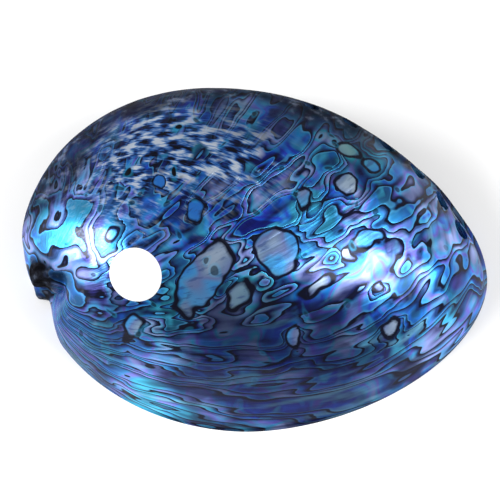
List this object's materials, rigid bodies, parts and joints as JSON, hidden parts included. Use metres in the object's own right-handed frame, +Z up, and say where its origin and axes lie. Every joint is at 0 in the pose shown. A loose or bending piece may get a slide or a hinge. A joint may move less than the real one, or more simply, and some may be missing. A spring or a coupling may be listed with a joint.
{
  "type": "abalone shell",
  "caption": "Polished abalone shell lying mouth down, a hollow egg-shaped dome with a low spiral spire, a row of breathing holes and a blank round paper label.",
  "frame": {"origin": "on the surface the lip rests on, under the middle of the shell's bounding box", "axes": "+X from the spire to the pointed end of the lip, +Y to the flank with the breathing holes, +Z up through the dome"},
  "size_m": [0.1382, 0.1024, 0.043],
  "materials": {
    "nacre": "polished blue-green nacre with dark growth lines under a clear gloss",
    "paper": "blank white label stock, matt"
  },
  "bodies": {
    "root": {"shell": "nacre", "sticker": "paper"}
  },
  "joints": []
}
